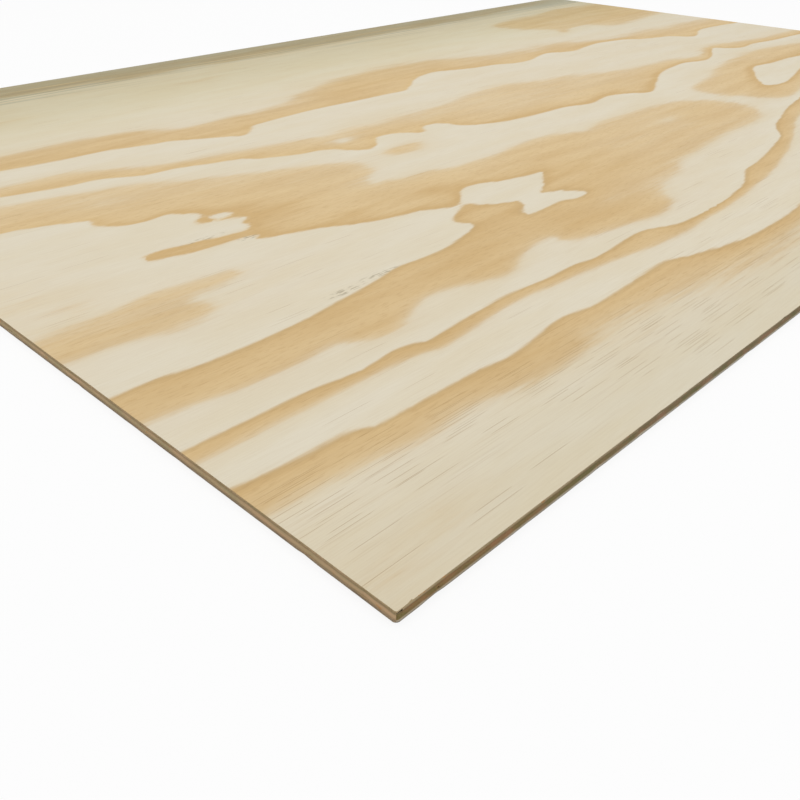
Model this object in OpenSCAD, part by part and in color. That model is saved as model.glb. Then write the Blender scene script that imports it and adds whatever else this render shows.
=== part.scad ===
// Plywood sheet: three veneers glued with their grain crossed and pressed into one flat panel.
// The sheet lies flat with its back down. X runs along the face grain, Y across it and Z up
// through the thickness. The origin is the middle of the back face.

/* [Sheet] */
// Length of the sheet, along the face grain
sheet_l = 1220; // [600:1:2440]
// Width of the sheet, across the face grain
sheet_w = 813; // [300:1:1220]
// Radius that handling has worn on the four upright corners
corner_r = 1.5; // [1:0.5:10]
// Height and width of the flat that eases the sharp arrises of the face and the back
arris = 0.3; // [0.1:0.1:0.8]

/* [Veneers] */
// Thickness of the face veneer after sanding
face_t = 1.4; // [1:0.1:3.2]
// Thickness of the core veneer, which has its grain turned across the sheet
core_t = 3.1; // [1.2:0.1:4]
// Thickness of the back veneer
back_t = 1.5; // [1:0.1:3.2]

/* [Hidden] */

corner_sides = 64;
core_z = back_t;
face_z = back_t + core_t;

// Upright section of a veneer, from a centre line out to the sawn edge at reach.
// An arris that is eased is cut off at 45 degrees, and one that meets a glue line stays square.
function edge_section(reach, thick, ease_low, ease_high) = [
    [0, 0],
    each ease_low > 0 ? [[reach - ease_low, 0], [reach, ease_low]] : [[reach, 0]],
    each ease_high > 0 ? [[reach, thick - ease_high], [reach - ease_high, thick]] : [[reach, thick]],
    [0, thick]
];

// The same section across the whole sheet, with both of its edges
function whole_section(half) = concat(
    [for (p = half) if (p.x > 0) p],
    [for (i = [len(half) - 1 : -1 : 0]) if (half[i].x > 0) [-half[i].x, half[i].y]]
);

// One veneer: a run along the sheet, a run across it and a turned post in each corner
module veneer(thick, ease_low = 0, ease_high = 0) {
    rotate([90, 0, 90])
        linear_extrude(sheet_l - 2 * corner_r, center = true)
            polygon(whole_section(edge_section(sheet_w / 2, thick, ease_low, ease_high)));
    rotate([90, 0, 0])
        linear_extrude(sheet_w - 2 * corner_r, center = true)
            polygon(whole_section(edge_section(sheet_l / 2, thick, ease_low, ease_high)));
    for (side_x = [-1, 1], side_y = [-1, 1])
        translate([side_x * (sheet_l / 2 - corner_r), side_y * (sheet_w / 2 - corner_r), 0])
            rotate_extrude($fn = corner_sides)
                polygon(edge_section(corner_r, thick, ease_low, ease_high));
}

module back_veneer() {
    color([0.80, 0.74, 0.62])
        veneer(back_t, ease_low = arris);
}

module core_veneer() {
    color([0.55, 0.46, 0.34])
        translate([0, 0, core_z])
            veneer(core_t);
}

module face_veneer() {
    color([0.87, 0.80, 0.65])
        translate([0, 0, face_z])
            veneer(face_t, ease_high = arris);
}

back_veneer();
core_veneer();
face_veneer();
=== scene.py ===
import math

import bpy
import numpy as np
from mathutils import Matrix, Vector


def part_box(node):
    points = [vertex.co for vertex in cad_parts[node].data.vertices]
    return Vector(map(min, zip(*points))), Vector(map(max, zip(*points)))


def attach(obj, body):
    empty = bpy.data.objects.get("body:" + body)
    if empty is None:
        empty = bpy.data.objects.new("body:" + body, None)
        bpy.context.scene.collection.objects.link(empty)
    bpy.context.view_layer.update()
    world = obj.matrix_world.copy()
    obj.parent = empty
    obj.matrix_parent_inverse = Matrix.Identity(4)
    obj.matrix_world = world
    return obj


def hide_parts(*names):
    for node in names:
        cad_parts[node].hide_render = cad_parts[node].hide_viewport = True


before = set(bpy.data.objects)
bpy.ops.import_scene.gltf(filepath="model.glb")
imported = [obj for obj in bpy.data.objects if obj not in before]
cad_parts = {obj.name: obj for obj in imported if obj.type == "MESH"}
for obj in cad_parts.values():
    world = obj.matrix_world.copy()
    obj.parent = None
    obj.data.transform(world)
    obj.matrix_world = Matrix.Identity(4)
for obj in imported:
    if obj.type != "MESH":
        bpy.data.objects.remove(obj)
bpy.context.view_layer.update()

# Back veneer
# The sheet's underside is one peeled pine veneer, with its grain along the sheet and no knots.
# It is glued to the core, and its edges were sawn together with the other two veneers.
back_corner = 0.002
corner_steps = 6
arris = 0.0003
rim_step = 0.004
saw_wander = 0.00012
nick_depth = 0.0005
nick_rarity = 24
upper_glue_line = 0.0045


def cut_veneer(name, node, corner_radius):
    """Lays a sheet over the node's top face, rounds its corners and gives it the node's thickness."""
    low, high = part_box(node)
    length, width = high[0] - low[0], high[1] - low[1]
    bpy.ops.object.select_all(action="DESELECT")
    bpy.ops.mesh.primitive_grid_add(
        x_subdivisions=round(length / rim_step), y_subdivisions=round(width / rim_step), size=1,
        location=((low[0] + high[0]) / 2, (low[1] + high[1]) / 2, high[2]))
    veneer = bpy.context.object
    veneer.name = name
    veneer.data.name = name
    veneer.scale = (length, width, 1)
    bpy.ops.object.transform_apply(location=True, rotation=True, scale=True)
    bpy.ops.object.mode_set(mode="EDIT")
    bpy.ops.mesh.select_mode(type="VERT")
    bpy.ops.mesh.select_all(action="DESELECT")
    bpy.ops.object.mode_set(mode="OBJECT")
    for vertex in veneer.data.vertices:
        at_end = min(vertex.co.x - low[0], high[0] - vertex.co.x) < rim_step / 2
        at_side = min(vertex.co.y - low[1], high[1] - vertex.co.y) < rim_step / 2
        vertex.select = at_end and at_side
    bpy.ops.object.mode_set(mode="EDIT")
    bpy.ops.mesh.bevel(offset=corner_radius, segments=corner_steps, affect="VERTICES")
    bpy.ops.mesh.select_all(action="SELECT")
    bpy.ops.mesh.extrude_region_move(TRANSFORM_OT_translate={"value": (0, 0, low[2] - high[2])})
    bpy.ops.mesh.select_all(action="SELECT")
    bpy.ops.mesh.normals_make_consistent(inside=False)
    bpy.ops.object.mode_set(mode="OBJECT")
    return veneer


def select_faces(piece, chosen):
    """Selects the faces that chosen accepts by their normal, and leaves the piece in edit mode."""
    bpy.ops.object.mode_set(mode="EDIT")
    bpy.ops.mesh.select_mode(type="FACE")
    bpy.ops.mesh.select_all(action="DESELECT")
    bpy.ops.object.mode_set(mode="OBJECT")
    for face in piece.data.polygons:
        face.select = chosen(face.normal)
    bpy.ops.object.mode_set(mode="EDIT")


def make_one_face(piece, chosen):
    """Joins a flat side's small faces to one."""
    select_faces(piece, chosen)
    bpy.ops.mesh.dissolve_faces()
    bpy.ops.object.mode_set(mode="OBJECT")


def ease_arris(piece, chosen):
    """Sands off the sharp edge round a flat side."""
    select_faces(piece, chosen)
    bpy.ops.mesh.region_to_loop()
    bpy.ops.mesh.bevel(offset=arris, segments=2, affect="EDGES")
    bpy.ops.object.mode_set(mode="OBJECT")


def roughen_rim(piece, corner_radius, seed):
    """Moves the sawn rim inwards by the saw's wander, and by nicks here and there."""
    draw = np.random.default_rng(seed)
    points = np.empty(len(piece.data.vertices) * 3)
    piece.data.vertices.foreach_get("co", points)
    points = points.reshape(-1, 3)
    half = np.abs(points[:, :2]).max(axis=0)
    inner = half - corner_radius
    beyond = np.sign(points[:, :2]) * np.maximum(np.abs(points[:, :2]) - inner, 0)
    reach = np.hypot(*beyond.T)
    on_rim = reach > corner_radius - 2 * arris
    outward = beyond / np.maximum(reach, 1e-9)[:, None]
    turn = np.arctan2(points[:, 1] / half[1], points[:, 0] / half[0]) / math.tau + 0.5
    places = 1200
    evened = np.ones(5) / 5
    wander = np.convolve(np.tile(draw.uniform(0, 1, places), 3), evened, "same")
    nicks = np.tile(draw.uniform(0, 1, places) ** nick_rarity, 3)
    inwards = saw_wander * wander + nick_depth * nicks
    shift = np.interp(turn * places + places, np.arange(3 * places), inwards)
    points[on_rim, :2] -= (outward * shift[:, None])[on_rim]
    piece.data.vertices.foreach_set("co", points.ravel())
    piece.data.update()


def srgb(red, green, blue):
    """A colour written as on a screen, 0 to 255, in the linear values that a shader takes."""
    return tuple(((c / 255 + 0.055) / 1.055) ** 2.4 for c in (red, green, blue)) + (1,)


def start_wood(name):
    """A material with its shader and the coordinates that its grain follows."""
    material = bpy.data.materials.new(name)
    material.use_nodes = True
    nodes = material.node_tree.nodes
    shader = nodes["Principled BSDF"]
    shader.inputs["Specular IOR Level"].default_value = 0.25
    place = nodes.new("ShaderNodeTexCoord").outputs["Object"]
    return material, material.node_tree, shader, place


def grain_noise(tree, place, size, shift=(0, 0, 0), detail=3):
    """Noise with blots of a size in metres along the sheet, across it and through it."""
    mapping = tree.nodes.new("ShaderNodeMapping")
    mapping.inputs["Scale"].default_value = tuple(1 / s for s in size)
    mapping.inputs["Location"].default_value = shift
    noise = tree.nodes.new("ShaderNodeTexNoise")
    noise.inputs["Scale"].default_value = 1
    noise.inputs["Detail"].default_value = detail
    tree.links.new(place, mapping.inputs["Vector"])
    tree.links.new(mapping.outputs["Vector"], noise.inputs["Vector"])
    return noise.outputs["Fac"]


def spread(tree, value, low, high, to_low=0, to_high=1):
    """Takes a value from the range low..high to another range, with soft ends."""
    node = tree.nodes.new("ShaderNodeMapRange")
    node.interpolation_type = "SMOOTHSTEP"
    node.inputs["From Min"].default_value = low
    node.inputs["From Max"].default_value = high
    node.inputs["To Min"].default_value = to_low
    node.inputs["To Max"].default_value = to_high
    tree.links.new(value, node.inputs["Value"])
    return node.outputs["Result"]


def calc(tree, operation, first, second):
    """One sum on two sockets or numbers."""
    node = tree.nodes.new("ShaderNodeMath")
    node.operation = operation
    for socket, value in zip(node.inputs, (first, second)):
        if isinstance(value, (int, float)):
            socket.default_value = value
        else:
            tree.links.new(value, socket)
    return node.outputs[0]


def tint(tree, amount, below, above, kind="MIX"):
    """Mixes two colours, each a socket or a written colour."""
    node = tree.nodes.new("ShaderNodeMix")
    node.data_type = "RGBA"
    node.blend_type = kind
    # A mix node's colours go in at its sockets 6 and 7, and their mix comes out at 2.
    sockets = (node.inputs[0], node.inputs[6], node.inputs[7])
    for socket, value in zip(sockets, (amount, below, above)):
        if isinstance(value, (int, float, tuple)):
            socket.default_value = value
        else:
            tree.links.new(value, socket)
    return node.outputs[2]


def ramp(tree, value, stops):
    """A grey curve through stops of place and height."""
    node = tree.nodes.new("ShaderNodeValToRGB")
    elements = node.color_ramp.elements
    for _ in stops[2:]:
        elements.new(0.5)
    for element, (place, height) in zip(elements, stops):
        element.position = place
        element.color = (height, height, height, 1)
    tree.links.new(value, node.inputs["Fac"])
    return node.outputs["Color"]


def finish_wood(tree, shader, colour, relief, depth, roughness):
    """Plugs the colour, the raised grain and the roughness into the shader."""
    bump = tree.nodes.new("ShaderNodeBump")
    bump.inputs["Strength"].default_value = 0.6
    bump.inputs["Distance"].default_value = depth
    tree.links.new(relief, bump.inputs["Height"])
    tree.links.new(bump.outputs["Normal"], shader.inputs["Normal"])
    tree.links.new(colour, shader.inputs["Base Color"])
    tree.links.new(roughness, shader.inputs["Roughness"])


def plain_figure(name):
    """Slash-grained pine with long even flames, as on a back that isn't picked for looks."""
    material, tree, shader, place = start_wood(name)
    axes = tree.nodes.new("ShaderNodeSeparateXYZ")
    tree.links.new(place, axes.inputs["Vector"])
    bend = grain_noise(tree, place, (0.7, 0.22, 1), detail=2)
    teeth = grain_noise(tree, place, (0.06, 0.006, 1))
    rings_per_metre = 5
    bend_rings = 6
    tooth_rings = 0.12
    ring = calc(tree, "MULTIPLY", axes.outputs["Y"], rings_per_metre)
    ring = calc(tree, "ADD", ring, calc(tree, "MULTIPLY", bend, bend_rings))
    ring = calc(tree, "ADD", ring, calc(tree, "MULTIPLY", teeth, tooth_rings))
    growth = calc(tree, "FRACT", ring, 0)
    late = ramp(tree, growth, [(0, 0), (0.35, 0.1), (0.6, 0.85), (0.96, 1), (1, 0)])
    fibre = grain_noise(tree, place, (0.03, 0.0007, 1))
    colour = tint(tree, late, srgb(219, 206, 178), srgb(208, 178, 130))
    colour = tint(tree, spread(tree, fibre, 0.3, 0.7, 0, 0.16), colour, srgb(150, 120, 82))
    finish_wood(tree, shader, colour, fibre, 0.0002, spread(tree, fibre, 0.2, 0.8, 0.7, 0.85))
    return material


def edge_tones_and_contact_shade(tree, place, colour, far, glue_lines, contact_shade):
    """Tones a sawn edge: a far tone away from the near corner, dark glue lines, and a painted contact
    shadow along the bottom rim.
    """
    axes = tree.nodes.new("ShaderNodeSeparateXYZ")
    tree.links.new(place, axes.inputs["Vector"])
    far_starts, far_holds = -0.6, -0.42
    stain_ends, stain_holds = 0.0007, 0.0002
    contact_shade_ends, contact_shade_holds = 0.0008, 0.0003
    far_part = spread(tree, axes.outputs["X"], far_starts, far_holds)
    colour = tint(tree, far_part, colour, far, "MULTIPLY")
    for height in glue_lines:
        away = calc(tree, "ABSOLUTE", calc(tree, "SUBTRACT", axes.outputs["Z"], height), 0)
        stain = spread(tree, away, stain_ends, stain_holds, 0, 0.3)
        colour = tint(tree, stain, colour, srgb(88, 66, 40))
    # The bottom rim is darkened here as painted contact shadow.
    contact_shaded = spread(tree, axes.outputs["Z"], contact_shade_ends, contact_shade_holds, 0, contact_shade)
    return tint(tree, contact_shaded, colour, srgb(70, 60, 48))


def side_grain(name, light, dark, far=(1, 1, 1, 1), glue_lines=(upper_glue_line,)):
    """A sawn edge that runs with the grain: fine lines along it, in lighter and browner lengths."""
    material, tree, shader, place = start_wood(name)
    lines = grain_noise(tree, place, (0.03, 0.03, 0.0004))
    lengths = grain_noise(tree, place, (0.018, 0.018, 0.004), (3, 7, 1))
    colour = tint(tree, spread(tree, lengths, 0.3, 0.7), light, dark)
    colour = tint(tree, spread(tree, lines, 0.35, 0.7, 0, 0.5), colour, dark)
    resin = grain_noise(tree, place, (0.004, 0.004, 0.002), (6, 1, 4), 1)
    colour = tint(tree, spread(tree, resin, 0.66, 0.76, 0, 0.6), colour, srgb(196, 134, 72))
    # The 0.85 is the strength of the painted contact shadow along the bottom rim.
    colour = edge_tones_and_contact_shade(tree, place, colour, far, glue_lines, 0.85)
    finish_wood(tree, shader, colour, lines, 0.0001, spread(tree, lines, 0.2, 0.8, 0.75, 0.9))
    return material


def end_grain(name, light, dark, far=(1, 1, 1, 1)):
    """A sawn edge across the veneer's grain: dark open pores, in redder and greener patches."""
    material, tree, shader, place = start_wood(name)
    pores = grain_noise(tree, place, (0.0005, 0.0005, 0.0006))
    patches = grain_noise(tree, place, (0.012, 0.012, 0.006), (5, 2, 8))
    colour = tint(tree, spread(tree, patches, 0.3, 0.7), light, dark)
    colour = tint(tree, spread(tree, pores, 0.4, 0.75, 0, 0.55), colour, srgb(84, 62, 40))
    colour = edge_tones_and_contact_shade(tree, place, colour, far, (upper_glue_line,), 0)
    finish_wood(tree, shader, colour, pores, 0.0001, spread(tree, pores, 0.2, 0.8, 0.95, 0.8))
    return material


def dress(piece, flat, ends, sides):
    """Gives a veneer one finish on its two flats, one on its ends and one on its long sides."""
    for material in (flat, ends, sides):
        piece.data.materials.append(material)
    for face in piece.data.polygons:
        across = abs(face.normal.x) > abs(face.normal.y)
        face.material_index = 0 if abs(face.normal.z) > 0.5 else 1 if across else 2


def faces_up(normal):
    return normal.z > 0.9


def faces_down(normal):
    return normal.z < -0.9


back_veneer = cut_veneer("back_veneer_sheet", "back_veneer", back_corner)
make_one_face(back_veneer, faces_up)
make_one_face(back_veneer, faces_down)
ease_arris(back_veneer, faces_down)
roughen_rim(back_veneer, back_corner, seed=11)
dress(back_veneer, plain_figure("pine_back_figure"),
      end_grain("back_end_grain", srgb(170, 150, 122), srgb(148, 130, 106)),
      side_grain("back_side_grain", srgb(196, 182, 158), srgb(166, 150, 124),
                 (1.12, 1.22, 1.36, 1)))
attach(back_veneer, "root")
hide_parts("back_veneer")

# Core veneer
# The middle veneer is about twice as thick, with its grain across the sheet, which keeps it flat.
# Only its sawn edges show: end grain along the long sides, and long grain at the two ends.
# A small void is open in its near edge, its inside painted dark brown as shade.
core_corner = 0.0015
lower_glue_line = 0.0018
void_middle = (-0.589, -0.4066, 0.0027)
void_reach = (0.0006, 0.0008, 0.0005)


def chip(piece, middle, reach, inside):
    """Breaks a flake out of a veneer with a tapered block along the sheet, and finishes the inside."""
    bpy.ops.object.select_all(action="DESELECT")
    bpy.ops.mesh.primitive_cone_add(vertices=6, radius1=1, radius2=0.25, depth=2)
    flake = bpy.context.object
    bpy.ops.object.mode_set(mode="EDIT")
    bpy.ops.transform.rotate(value=math.radians(90), orient_axis="Y", center_override=(0, 0, 0))
    bpy.ops.object.mode_set(mode="OBJECT")
    flake.scale = reach
    flake.location = middle
    bpy.ops.object.transform_apply(location=True, rotation=True, scale=True)
    flake.data.materials.append(inside)
    cut = piece.modifiers.new("flake", "BOOLEAN")
    cut.operation = "DIFFERENCE"
    cut.solver = "EXACT"
    cut.material_mode = "TRANSFER"
    cut.object = flake
    bpy.ops.object.select_all(action="DESELECT")
    piece.select_set(True)
    bpy.context.view_layer.objects.active = piece
    bpy.ops.object.modifier_apply(modifier=cut.name)
    bpy.data.objects.remove(flake)


def split_shade_paint(name):
    """The inside of an open split, painted dark brown in blotches as the shade inside it."""
    material, tree, shader, place = start_wood(name)
    shade_blots = grain_noise(tree, place, (0.0008, 0.0008, 0.0004))
    colour = tint(tree, spread(tree, shade_blots, 0.3, 0.7), srgb(52, 36, 20), srgb(92, 68, 40))
    finish_wood(tree, shader, colour, shade_blots, 0.0002, spread(tree, shade_blots, 0.2, 0.8, 0.8, 0.95))
    return material


# The dark brown inside of the split and of the void is painted shade.
painted_split_shade = split_shade_paint("painted_split_shade")
core_veneer = cut_veneer("core_veneer_sheet", "core_veneer", core_corner)
make_one_face(core_veneer, faces_up)
make_one_face(core_veneer, faces_down)
roughen_rim(core_veneer, core_corner, seed=12)
dress(core_veneer, plain_figure("pine_core_figure"),
      side_grain("core_side_grain", srgb(202, 166, 128), srgb(173, 156, 117),
                 glue_lines=(lower_glue_line, upper_glue_line)),
      end_grain("core_end_grain", srgb(168, 124, 86), srgb(128, 116, 68), (0.85, 0.98, 1.2, 1)))
chip(core_veneer, void_middle, void_reach, painted_split_shade)
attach(core_veneer, "root")
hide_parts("core_veneer")

# Face veneer
# The show side is one pine veneer peeled from a log, with its grain along the sheet, and sanded smooth.
# The knife cuts nearly along the growth rings, so each comes up as a long flame or an island.
# Its near corner is chipped, with a split in the edge whose inside is painted dark brown as shade.
face_corner = 0.001
split_middle = (-0.6083, -0.4064, 0.0051)
split_reach = (0.0014, 0.0014, 0.0005)
worn_middle = (-0.6045, -0.4067, 0.0062)
worn_reach = (0.0026, 0.0009, 0.0006)
sharp, soft = 1.6, 2.4

# The figure is drawn as ring lines, in millimetres from the sheet's middle. Each has the level left of
# the line as drawn, the level right of it, how far from the line these hold, and the line's points.
# At a whole level one ring's tan late wood ends and the next ring's pale wood starts.
# At a half, pale turns tan.
ring_lines = [
    (1.05, 0.9, sharp, [
        (-625, -312), (-585, -318), (-549, -319), (-538, -324), (-470, -325), (-450, -327),
        (-425, -325), (-395, -321), (-370, -325), (-340, -325), (-285, -322), (-265, -329),
        (-225, -338), (-195, -341), (-130, -339), (-50, -328), (50, -306), (150, -280),
        (260, -250), (380, -222), (500, -200), (625, -181)]),
    (0.72, 0.38, 6, [
        (-625, -334), (-560, -339), (-530, -343), (-500, -341), (-470, -347), (-430, -349),
        (-400, -346)]),
    (0.6, 0.42, 9, [
        (-400, -346), (-350, -347), (-300, -354), (-250, -360), (-200, -361), (-100, -353),
        (50, -325), (150, -300), (260, -272), (380, -246), (500, -226), (625, -209)]),
    (2.05, 1.9, sharp, [
        (-625, -280), (-560, -281), (-535, -282), (-510, -285), (-485, -282), (-472, -284),
        (-466, -287), (-440, -285), (-395, -282), (-360, -285), (-330, -285), (-312, -288),
        (-285, -286), (-255, -284), (-240, -288), (-222, -295), (-200, -297), (-170, -297),
        (-140, -294), (-105, -288), (-75, -275), (-45, -271), (0, -262), (45, -251), (62, -240),
        (80, -231), (110, -223), (150, -212), (200, -203), (260, -193), (340, -178), (440, -160),
        (530, -146), (625, -135)]),
    (1.7, 1.36, 2.5, [
        (-625, -290), (-550, -291), (-500, -291), (-478, -293), (-465, -297), (-400, -291),
        (-350, -294), (-310, -297), (-290, -300), (-265, -304), (-225, -305), (-190, -302),
        (-140, -300), (-100, -295), (-60, -289), (0, -275), (60, -255), (110, -237), (160, -225),
        (220, -215), (300, -201), (400, -183), (500, -167), (625, -152)]),
    (3.05, 2.9, sharp, [
        (-625, -222), (-585, -222), (-565, -225), (-530, -226), (-500, -225), (-470, -221),
        (-440, -217), (-410, -211), (-395, -212), (-372, -213), (-345, -207), (-325, -200),
        (-322, -194), (-326, -186), (-317, -177), (-306, -171), (-296, -169), (-288, -176),
        (-280, -183), (-266, -189), (-264, -193), (-271, -201), (-281, -210), (-270, -213),
        (-255, -212), (-240, -212), (-226, -217), (-210, -214), (-215, -205), (-223, -196),
        (-234, -191), (-222, -183), (-206, -171), (-196, -161), (-214, -158), (-236, -152),
        (-252, -145), (-268, -142), (-284, -151), (-294, -161), (-304, -164), (-318, -159),
        (-330, -153), (-352, -149), (-380, -139), (-400, -129), (-428, -120), (-442, -115),
        (-438, -109), (-450, -106), (-480, -105), (-500, -100), (-512, -94), (-500, -89),
        (-485, -91), (-468, -93), (-450, -97), (-437, -98), (-430, -92), (-431, -84), (-424, -77),
        (-436, -73), (-447, -67), (-450, -60), (-442, -51), (-450, -43), (-460, -35), (-476, -37),
        (-490, -34), (-501, -26), (-506, -18), (-503, -10), (-515, -4), (-528, 2), (-548, 8),
        (-580, 12), (-625, 16)]),
    (2.9, 3.05, sharp, [
        (-445, -63), (-436, -58), (-427, -61), (-426, -67), (-436, -70), (-445, -63)]),
    (2.72, 2.4, 4, [
        (-625, -249), (-585, -250), (-560, -255), (-530, -256), (-500, -254), (-488, -262),
        (-470, -266), (-455, -260), (-430, -251), (-405, -252), (-385, -260), (-365, -262),
        (-350, -255), (-325, -247), (-302, -246), (-300, -257), (-285, -263), (-255, -268),
        (-235, -272), (-208, -275), (-188, -270), (-170, -256)]),
    (2.56, 2.38, 5, [
        (-170, -256), (-152, -243), (-112, -236), (-86, -224), (-50, -219), (0, -214), (50, -212),
        (100, -206), (122, -192), (132, -170), (124, -146), (104, -126), (70, -113), (0, -111),
        (-40, -110), (-72, -118)]),
    (2.62, 2.38, 5, [
        (-72, -118), (-100, -106), (-150, -103), (-200, -107), (-240, -104), (-258, -96),
        (-288, -96), (-310, -84)]),
    (2.56, 2.38, 5, [
        (-310, -84), (-290, -66), (-283, -50), (-294, -34), (-318, -20), (-350, -10), (-400, 14),
        (-440, 34), (-500, 50), (-540, 60), (-625, 74)]),
    (3.38, 3.55, 4, [
        (-625, -146), (-590, -142), (-560, -142), (-540, -136), (-510, -139), (-482, -146),
        (-494, -155), (-522, -160), (-520, -172), (-530, -185), (-552, -187), (-575, -179),
        (-625, -178)]),
    (2.9, 3.05, 2, [
        (232, -151), (246, -137), (270, -122), (300, -105), (322, -98), (350, -103), (375, -104),
        (410, -106), (445, -116), (440, -128), (400, -134), (350, -142), (300, -154), (262, -161),
        (240, -158), (232, -151)]),
    (2.38, 2.6, 6, [
        (150, -130), (152, -112), (172, -98), (220, -88), (260, -77), (300, -66), (340, -60),
        (380, -54), (420, -54), (470, -62), (530, -78), (570, -96), (560, -112), (520, -122),
        (460, -134), (400, -148), (340, -164), (280, -180), (230, -192), (198, -192), (178, -180),
        (160, -152), (150, -130)]),
    (1.9, 2.05, soft, [
        (-625, 98), (-570, 87), (-530, 78), (-500, 71), (-480, 67), (-458, 66), (-445, 60),
        (-425, 50), (-398, 47), (-375, 40), (-346, 32), (-336, 22), (-318, 14), (-300, 8),
        (-285, 5), (-272, -2), (-264, -12), (-252, -22), (-242, -19), (-231, -8), (-222, 0),
        (-205, -1), (-192, -8), (-181, -17), (-172, -9), (-163, -3), (-150, -5), (-142, -12),
        (-140, -22), (-130, -32), (-116, -39), (-100, -45), (-75, -49), (-40, -52), (-10, -54),
        (20, -63), (40, -60), (60, -57), (80, -63), (98, -74), (112, -79), (130, -72), (150, -62),
        (168, -54), (188, -44), (212, -36), (245, -31), (275, -29), (300, -37), (322, -38),
        (350, -27), (372, -15), (392, -8), (402, -20), (425, -32), (460, -30), (500, -37),
        (560, -42), (625, -46)]),
    (1.38, 1.58, 5, [
        (-625, 130), (-560, 108), (-515, 99), (-490, 97), (-460, 94), (-438, 82), (-400, 64),
        (-360, 56), (-320, 48), (-280, 42), (-255, 34)]),
    (1.39, 1.53, 6, [
        (-255, 34), (-235, 40), (-200, 36), (-170, 36), (-130, 34), (-90, 38), (-50, 46), (0, 52),
        (40, 46), (80, 36), (120, 26), (160, 10), (200, 0), (250, -3), (290, -10), (330, -18),
        (370, -1), (410, 5), (450, -4), (500, -14), (560, -20), (625, -22)]),
    (0.9, 1.05, soft, [
        (-625, 154), (-560, 145), (-500, 136), (-460, 132), (-410, 128), (-395, 123), (-375, 118),
        (-356, 115), (-343, 107), (-328, 99), (-315, 92), (-303, 86), (-296, 89), (-288, 97),
        (-278, 106), (-264, 108), (-240, 110), (-200, 112), (-150, 110), (-100, 107), (-76, 106),
        (-62, 114), (-50, 122), (-38, 131), (-20, 140), (0, 145), (20, 145), (45, 135), (70, 128),
        (100, 122), (122, 112), (148, 110), (175, 118), (200, 122), (220, 113), (240, 107),
        (265, 111), (300, 116), (330, 112), (358, 105), (376, 92), (400, 84), (422, 78), (436, 64),
        (452, 52), (480, 62), (510, 73), (560, 70), (625, 62)]),
    (0.42, 0.66, 6, [
        (-625, 192), (-550, 180), (-480, 172), (-440, 172), (-400, 168), (-375, 164), (-350, 150),
        (-330, 141), (-310, 138), (-285, 141), (-255, 143)]),
    (0.41, 0.56, 7, [
        (-255, 143), (-220, 148), (-192, 155), (-170, 169), (-140, 182), (-100, 194), (-60, 200),
        (-30, 204), (0, 203), (30, 199), (60, 190), (100, 176), (130, 169)]),
    (0.4, 0.52, 7, [
        (130, 169), (160, 160), (200, 157), (240, 159), (275, 154), (300, 140), (330, 130),
        (360, 124), (400, 126), (440, 126), (480, 118), (520, 120), (560, 118), (625, 114)]),
    (0.52, 0.34, 6, [
        (298, 284), (305, 260), (322, 236), (340, 220), (338, 190), (350, 190), (372, 204),
        (400, 208), (425, 198), (440, 178), (480, 174), (530, 180), (585, 186), (640, 200),
        (640, 260), (630, 318), (560, 328), (500, 332), (450, 318), (390, 318), (330, 308),
        (306, 298), (298, 284)]),
    (0.57, 0.43, 10, [
        (-625, 380), (-450, 366), (-300, 360), (-150, 356), (0, 358), (150, 362), (300, 366),
        (420, 374), (520, 384), (625, 394)]),
    (0.5, 0.5, 2, [(-625, 404), (0, 404), (625, 404)]),
    (0.2, 0.2, 2, [(-480, -396), (0, -394), (180, -388)]),
    (0.05, -0.1, sharp, [
        (215, -420), (290, -378), (380, -344), (480, -318), (560, -304), (625, -296)]),
    (-0.28, -0.62, 6, [(300, -420), (390, -380), (490, -350), (570, -336), (625, -330)]),
]
# Levels inside the broad patches between those lines, as (x, y, level).
ring_patches = [
    (-560, -205, 3.1), (-400, -175, 3.1), (-480, -122, 3.1), (-590, -95, 3.42), (-480, -65, 3.1),
    (-560, -30, 3.1), (-436, -64, 3.1), (-490, -96, 2.85), (-460, -100, 2.9), (-450, -20, 2.7),
    (-480, 15, 2.5), (-385, -10, 2.55), (-350, -50, 2.65), (-392, -40, 2.76), (-395, -86, 2.86),
    (-290, -130, 2.88), (-365, -128, 2.86), (-300, -166, 3.05), (-250, -165, 3.1),
    (-250, -191, 3.05), (-245, -204, 3.1), (-295, -192, 2.85), (-240, -245, 2.8),
    (-210, -235, 2.6), (-165, -182, 2.85), (-90, -165, 2.6), (20, -155, 2.52), (-160, -268, 2.3),
    (145, -160, 2.3), (-600, -168, 3.7), (-535, -138, 3.51), (-545, -178, 3.52),
    (-575, -128, 3.49), (340, -124, 3.1), (185, -125, 2.68), (370, -80, 2.6), (-240, -42, 2.68),
    (-215, -38, 2.58), (-252, -58, 2.25), (-185, -45, 2.25), (-228, -66, 2.25), (-252, 11, 1.4),
    (-248, -6, 1.75), (-150, 5, 1.6), (0, -5, 1.55), (110, -5, 1.55), (90, -48, 1.8),
    (-130, 140, 0.85), (-110, 170, 0.8), (-60, 150, 0.85), (0, 170, 0.7), (80, 155, 0.6),
    (200, 140, 0.5), (-450, 270, 0.45), (-200, 285, 0.45), (100, 290, 0.4), (250, 250, 0.1),
    (400, 255, 0.55), (500, 265, 0.55), (560, 150, 0.3), (-400, -370, 0.35), (-290, -370, 0.42),
    (-600, -395, 0.44), (-560, -382, 0.42), (590, -396, -0.75)]
# The levels reach further along the grain than across it.
grain_pull = np.array([0.6, 1.0])
# Places beside the ring edges where the knife tore the grain, in metres: x, y, half length, half width.
torn_marks = [
    (-0.456, -0.213, 0.02, 0.0045), (-0.425, -0.21, 0.022, 0.004),
    (-0.468, -0.091, 0.022, 0.003), (-0.446, -0.109, 0.01, 0.004)]


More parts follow.
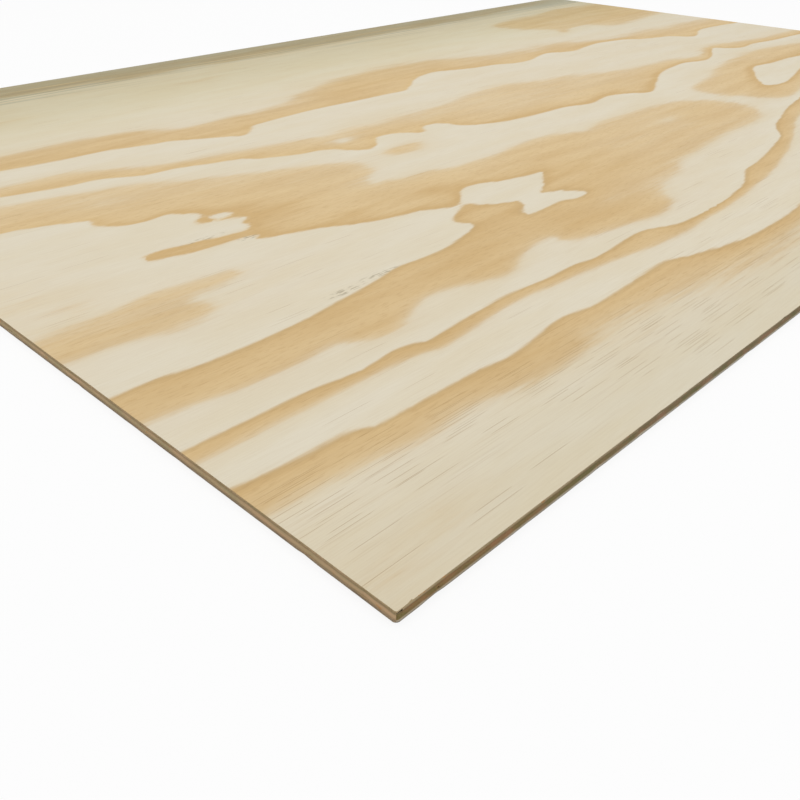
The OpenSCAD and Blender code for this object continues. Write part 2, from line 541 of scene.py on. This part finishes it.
def smooth_line(points, step):
    """A smooth curve through drawn points, and its direction. It closes if it ends where it starts."""
    closed = points[0] == points[-1]
    drawn = np.array(points[:-1] if closed else points, float)
    ends = [drawn[-1:], drawn, drawn[:2]] if closed else [drawn[:1], drawn, drawn[-1:]]
    drawn = np.concatenate(ends)
    curve = []
    for before, start, end, after in zip(drawn, drawn[1:], drawn[2:], drawn[3:]):
        for t in np.linspace(0, 1, math.ceil(np.hypot(*(end - start)) / step), endpoint=False):
            curve.append(0.5 * (2 * start + (end - before) * t
                                + (2 * before - 5 * start + 4 * end - after) * t ** 2
                                + (3 * start - before - 3 * end + after) * t ** 3))
    curve = np.array(curve)
    run = np.roll(curve, -1, 0) - np.roll(curve, 1, 0) if closed else np.gradient(curve, axis=0)
    return curve, run / np.hypot(*run.T)[:, None]


def ring_levels(places):
    """The ring level at places in millimetres, on the tautest surface over all lines and patches."""
    points = [np.array([(x, y) for x, y, _ in ring_patches], float)]
    levels = [np.array([level for _, _, level in ring_patches])]
    fine_step, coarse_step, fine_reach = 14, 25, 3
    for left, right, reach, drawn in ring_lines:
        curve, run = smooth_line(drawn, fine_step if reach < fine_reach else coarse_step)
        across = reach * np.column_stack([-run[:, 1], run[:, 0]])
        points += [curve + across, curve - across]
        levels += [np.full(len(curve), left), np.full(len(curve), right)]
    points = np.concatenate(points) * grain_pull
    levels = np.concatenate(levels)
    count = len(points)
    give = 0.05
    apart = np.hypot(*(points[:, None] - points[None]).transpose(2, 0, 1))
    system = np.zeros((count + 1, count + 1))
    system[:count, :count] = apart - give * np.eye(count)
    system[:count, count] = 1
    system[count, :count] = 1
    weights = np.linalg.solve(system, np.append(levels, 0))
    found = []
    batches = 16
    for part in np.array_split(places * grain_pull, batches):
        away = np.hypot(part[:, None, 0] - points[None, :, 0], part[:, None, 1] - points[None, :, 1])
        found.append(away @ weights[:count] + weights[count])
    return np.concatenate(found)


def picked_figure(name):
    """Sanded pine that follows the drawn rings, with toothed ring edges, fibre and dark resin dashes."""
    material, tree, shader, place = start_wood(name)
    level = tree.nodes.new("ShaderNodeAttribute")
    level.attribute_name = "ring"
    ring = level.outputs["Fac"]

    # The ring edges are toothed along the grain, most where pale wood turns tan.
    drawn_growth = calc(tree, "FRACT", ring, 0)
    toothed = ramp(tree, drawn_growth, [(0, 0.4), (0.2, 0.5), (0.5, 1), (0.8, 0.5), (1, 0.4)])
    for size, strength in (((0.1, 0.012, 1), 0.2), ((0.04, 0.003, 1), 0.17)):
        teeth = calc(tree, "SUBTRACT", grain_noise(tree, place, size, detail=1), 0.5)
        teeth = calc(tree, "MULTIPLY", teeth, toothed)
        ring = calc(tree, "ADD", ring, calc(tree, "MULTIPLY", teeth, strength))
    growth = calc(tree, "FRACT", ring, 0)
    late = ramp(tree, growth, [
        (0, 0.45), (0.03, 0.1), (0.06, 0.02), (0.15, 0.03), (0.3, 0.08), (0.4, 0.15),
        (0.45, 0.26), (0.5, 0.48), (0.53, 0.6), (0.58, 0.7), (0.66, 0.8), (0.78, 0.87),
        (0.9, 0.92), (0.94, 0.92), (0.97, 0.8), (1, 0.45)])

    # Pale early wood, and tan late wood that is deepest on the near and far sides and at a ring's end.
    axes = tree.nodes.new("ShaderNodeSeparateXYZ")
    tree.links.new(place, axes.inputs["Vector"])
    near_side = spread(tree, axes.outputs["Y"], -0.1, -0.24)
    blots = spread(tree, grain_noise(tree, place, (0.11, 0.02, 1), (4, 1, 0)), 0.32, 0.68)
    streaks = spread(tree, grain_noise(tree, place, (0.1, 0.014, 1), (2, 6, 0)), 0.3, 0.7, 0, 0.62)
    pale = tint(tree, blots, srgb(221, 211, 187), srgb(223, 215, 195))
    far_side = spread(tree, axes.outputs["Y"], 0.08, 0.14, 0, 0.3)
    deep = calc(tree, "ADD", streaks, far_side)
    deep = calc(tree, "ADD", deep, calc(tree, "MULTIPLY", near_side, 0.35))
    last_growth = ramp(tree, growth, [(0, 0.1), (0.02, 0), (0.78, 0), (0.88, 1), (0.97, 1), (1, 0.1)])
    middle = calc(tree, "SUBTRACT", spread(tree, axes.outputs["Y"], 0, -0.05), near_side)
    ring_close = calc(tree, "MULTIPLY", last_growth, middle)
    deep = calc(tree, "ADD", deep, calc(tree, "MULTIPLY", ring_close, 0.8))
    tan = tint(tree, deep, srgb(218, 189, 138), srgb(203, 168, 110))
    colour = tint(tree, late, pale, tan)
    ring_end = ramp(tree, growth, [(0, 0.15), (0.02, 0), (0.86, 0), (0.96, 0.35), (1, 0.15)])
    colour = tint(tree, calc(tree, "MULTIPLY", ring_end, near_side), colour, srgb(176, 146, 100))
    flecks = grain_noise(tree, place, (0.008, 0.0011, 1), (8, 4, 0), 2)
    flecks = calc(tree, "MULTIPLY", spread(tree, flecks, 0.5, 0.72, 0, 0.32), late)
    colour = tint(tree, flecks, colour, srgb(178, 142, 92))
    fibre = grain_noise(tree, place, (0.02, 0.0006, 1), (1, 9, 0))
    colour = tint(tree, spread(tree, fibre, 0.35, 0.75, 0, 0.1), colour, srgb(176, 148, 106))

    # Resin dashes along the grain, one in some of the long narrow cells, most on the near side.
    cell_length, cell_width = 0.045, 0.0015
    dash_map = tree.nodes.new("ShaderNodeMapping")
    dash_map.inputs["Scale"].default_value = (1 / cell_length, 1 / cell_width, 1)
    dash_cells = tree.nodes.new("ShaderNodeTexVoronoi")
    dash_cells.voronoi_dimensions = "2D"
    dash_cells.inputs["Scale"].default_value = 1
    tree.links.new(place, dash_map.inputs["Vector"])
    tree.links.new(dash_map.outputs["Vector"], dash_cells.inputs["Vector"])
    dash_middle = tree.nodes.new("ShaderNodeVectorMath")
    dash_middle.operation = "SUBTRACT"
    tree.links.new(dash_map.outputs["Vector"], dash_middle.inputs[0])
    tree.links.new(dash_cells.outputs["Position"], dash_middle.inputs[1])
    away = tree.nodes.new("ShaderNodeSeparateXYZ")
    tree.links.new(dash_middle.outputs["Vector"], away.inputs["Vector"])
    chance = tree.nodes.new("ShaderNodeSeparateColor")
    tree.links.new(dash_cells.outputs["Color"], chance.inputs["Color"])
    shorter = calc(tree, "ADD", chance.outputs["Green"], 0.7)
    along = calc(tree, "MULTIPLY", calc(tree, "ABSOLUTE", away.outputs["X"], 0), shorter)
    dash = calc(tree, "MULTIPLY", spread(tree, along, 0.4, 0.2),
                spread(tree, calc(tree, "ABSOLUTE", away.outputs["Y"], 0), 0.14, 0.04))
    ripe = ramp(tree, growth, [(0, 0), (0.12, 0.3), (0.3, 1), (0.7, 1), (0.85, 0.4), (1, 0)])
    near = calc(tree, "MULTIPLY", spread(tree, axes.outputs["Y"], -0.3, -0.335, 0.08, 0.5),
                spread(tree, axes.outputs["Y"], -0.402, -0.385))
    crowd = spread(tree, grain_noise(tree, place, (0.25, 0.03, 1), (7, 3, 0)), 0.35, 0.6, 0.2, 1)
    share = calc(tree, "MULTIPLY", calc(tree, "MULTIPLY", near, crowd), ripe)
    present = spread(tree, calc(tree, "ADD", chance.outputs["Red"], share), 0.98, 1.04)
    dash = calc(tree, "MULTIPLY", dash, present)
    colour = tint(tree, calc(tree, "MULTIPLY", dash, 0.42), colour, srgb(156, 118, 66))
    threads = grain_noise(tree, place, (0.07, 0.0012, 1), (3, 8, 0), 1)
    threads = calc(tree, "MULTIPLY", spread(tree, threads, 0.56, 0.74, 0, 0.3), near)
    colour = tint(tree, threads, colour, srgb(170, 134, 84))

    # Grey picks where the grain is torn.
    torn = 0
    for x, y, half_length, half_width in torn_marks:
        mark_map = tree.nodes.new("ShaderNodeMapping")
        mark_map.inputs["Scale"].default_value = (1 / half_length, 1 / half_width, 0)
        mark_map.inputs["Location"].default_value = (-x / half_length, -y / half_width, 0)
        from_middle = tree.nodes.new("ShaderNodeVectorMath")
        from_middle.operation = "LENGTH"
        tree.links.new(place, mark_map.inputs["Vector"])
        tree.links.new(mark_map.outputs["Vector"], from_middle.inputs[0])
        torn = calc(tree, "MAXIMUM", torn, spread(tree, from_middle.outputs["Value"], 1, 0.4))
    picks = grain_noise(tree, place, (0.007, 0.0014, 1), (9, 2, 0), 1)
    picks = calc(tree, "MULTIPLY", torn, spread(tree, picks, 0.48, 0.62, 0, 0.6))
    colour = tint(tree, picks, colour, srgb(150, 138, 112))

    # The far side turns darker, more olive and grey, in streaks, and the near side is a little darker.
    olive = spread(tree, axes.outputs["Y"], 0.12, 0.3)
    colour = tint(tree, olive, colour, (0.93, 0.93, 0.83, 1), "MULTIPLY")
    near_darker = spread(tree, axes.outputs["Y"], -0.32, -0.4)
    colour = tint(tree, near_darker, colour, (0.94, 0.94, 0.92, 1), "MULTIPLY")
    far_darker = spread(tree, axes.outputs["Y"], 0.2, 0.38)
    colour = tint(tree, far_darker, colour, (0.87, 0.87, 0.87, 1), "MULTIPLY")
    streak = grain_noise(tree, place, (0.24, 0.004, 1), (5, 5, 0), 2)
    nearer = calc(tree, "MULTIPLY", spread(tree, axes.outputs["Y"], 0.31, 0.4), 0.5)
    greyed = spread(tree, calc(tree, "ADD", streak, nearer), 0.6, 0.9)
    greyed = calc(tree, "MULTIPLY", greyed, spread(tree, axes.outputs["Y"], 0.26, 0.33))
    colour = tint(tree, greyed, colour, (0.66, 0.71, 0.74, 1), "MULTIPLY")

    relief = calc(tree, "SUBTRACT", fibre, dash)
    finish_wood(tree, shader, colour, relief, 0.0001, spread(tree, fibre, 0.2, 0.8, 0.62, 0.74))
    return material


face_veneer = cut_veneer("face_veneer_sheet", "face_veneer", face_corner)
make_one_face(face_veneer, faces_down)
ease_arris(face_veneer, faces_up)
roughen_rim(face_veneer, face_corner, seed=13)
face_sides = side_grain("face_side_grain", srgb(186, 164, 128), srgb(158, 140, 102),
                        (0.64, 0.64, 0.65, 1))
dress(face_veneer, picked_figure("pine_face_figure"),
      end_grain("face_end_grain", srgb(188, 160, 122), srgb(164, 144, 104)), face_sides)
chip(face_veneer, split_middle, split_reach, painted_split_shade)
chip(face_veneer, worn_middle, worn_reach, face_sides)
plan = np.empty(len(face_veneer.data.vertices) * 3)
face_veneer.data.vertices.foreach_get("co", plan)
rings = face_veneer.data.attributes.new("ring", "FLOAT", "POINT")
plan_in_mm = plan.reshape(-1, 3)[:, :2] * 1000
rings.data.foreach_set("value", ring_levels(plan_in_mm))
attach(face_veneer, "root")
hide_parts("face_veneer")

# Studio
# A plain white floor, a white surround and soft light from above.
# The floor and the surround look white to the camera and give the sheet a plain level of light.
bpy.ops.object.select_all(action="DESELECT")
bpy.ops.mesh.primitive_plane_add(size=60, location=(0, 0, -0.0002))
floor = bpy.context.object
floor.name = "floor"
floor_paint = bpy.data.materials.new("white_floor")
floor_paint.use_nodes = True
floor_tree = floor_paint.node_tree
floor_shader = floor_tree.nodes["Principled BSDF"]
floor_shader.inputs["Base Color"].default_value = (0.88, 0.88, 0.88, 1)
floor_shader.inputs["Roughness"].default_value = 0.9
floor_white = floor_tree.nodes.new("ShaderNodeEmission")
floor_seen = floor_tree.nodes.new("ShaderNodeLightPath")
floor_mix = floor_tree.nodes.new("ShaderNodeMixShader")
floor_glow = calc(floor_tree, "MULTIPLY", floor_seen.outputs["Is Camera Ray"], 0.85)
floor_tree.links.new(floor_glow, floor_mix.inputs[0])
floor_tree.links.new(floor_shader.outputs["BSDF"], floor_mix.inputs[1])
floor_tree.links.new(floor_white.outputs["Emission"], floor_mix.inputs[2])
floor_tree.links.new(floor_mix.outputs["Shader"], floor_tree.nodes["Material Output"].inputs["Surface"])
floor.data.materials.append(floor_paint)

world = bpy.data.worlds.new("studio")
world.use_nodes = True
bpy.context.scene.world = world
world_tree = world.node_tree
fill = world_tree.nodes["Background"]
fill.inputs["Color"].default_value = (1, 1, 1, 1)
fill.inputs["Strength"].default_value = 0.5
surround = world_tree.nodes.new("ShaderNodeBackground")
surround.inputs["Color"].default_value = (1, 1, 1, 1)
world_seen = world_tree.nodes.new("ShaderNodeLightPath")
mirrored = calc(world_tree, "MAXIMUM", world_seen.outputs["Is Glossy Ray"],
                world_seen.outputs["Is Transmission Ray"])
seen = calc(world_tree, "MAXIMUM", world_seen.outputs["Is Camera Ray"], mirrored)
world_mix = world_tree.nodes.new("ShaderNodeMixShader")
world_tree.links.new(seen, world_mix.inputs[0])
world_tree.links.new(fill.outputs["Background"], world_mix.inputs[1])
world_tree.links.new(surround.outputs["Background"], world_mix.inputs[2])
world_tree.links.new(world_mix.outputs["Shader"], world_tree.nodes["World Output"].inputs["Surface"])

bpy.ops.object.light_add(type="AREA", location=(-0.25, -0.2, 3))
softbox = bpy.context.object
softbox.name = "softbox"
softbox.data.size = 3.2
softbox.data.energy = 61

heading, pitch, roll = 43.99, -32.75, 0.61
bpy.ops.object.camera_add(location=(-0.75305, -0.54532, 0.21817))
camera = bpy.context.object
camera.data.lens = 38.26
camera.data.sensor_width = 36
aim = Matrix.Rotation(math.radians(heading - 90), 4, "Z")
tilt = Matrix.Rotation(math.radians(90 + pitch), 4, "X")
lean = Matrix.Rotation(math.radians(roll), 4, "Z")
camera.rotation_euler = (aim @ tilt @ lean).to_euler()
camera.data.clip_start = 0.01
bpy.context.scene.camera = camera
bpy.context.scene.view_settings.view_transform = "Standard"
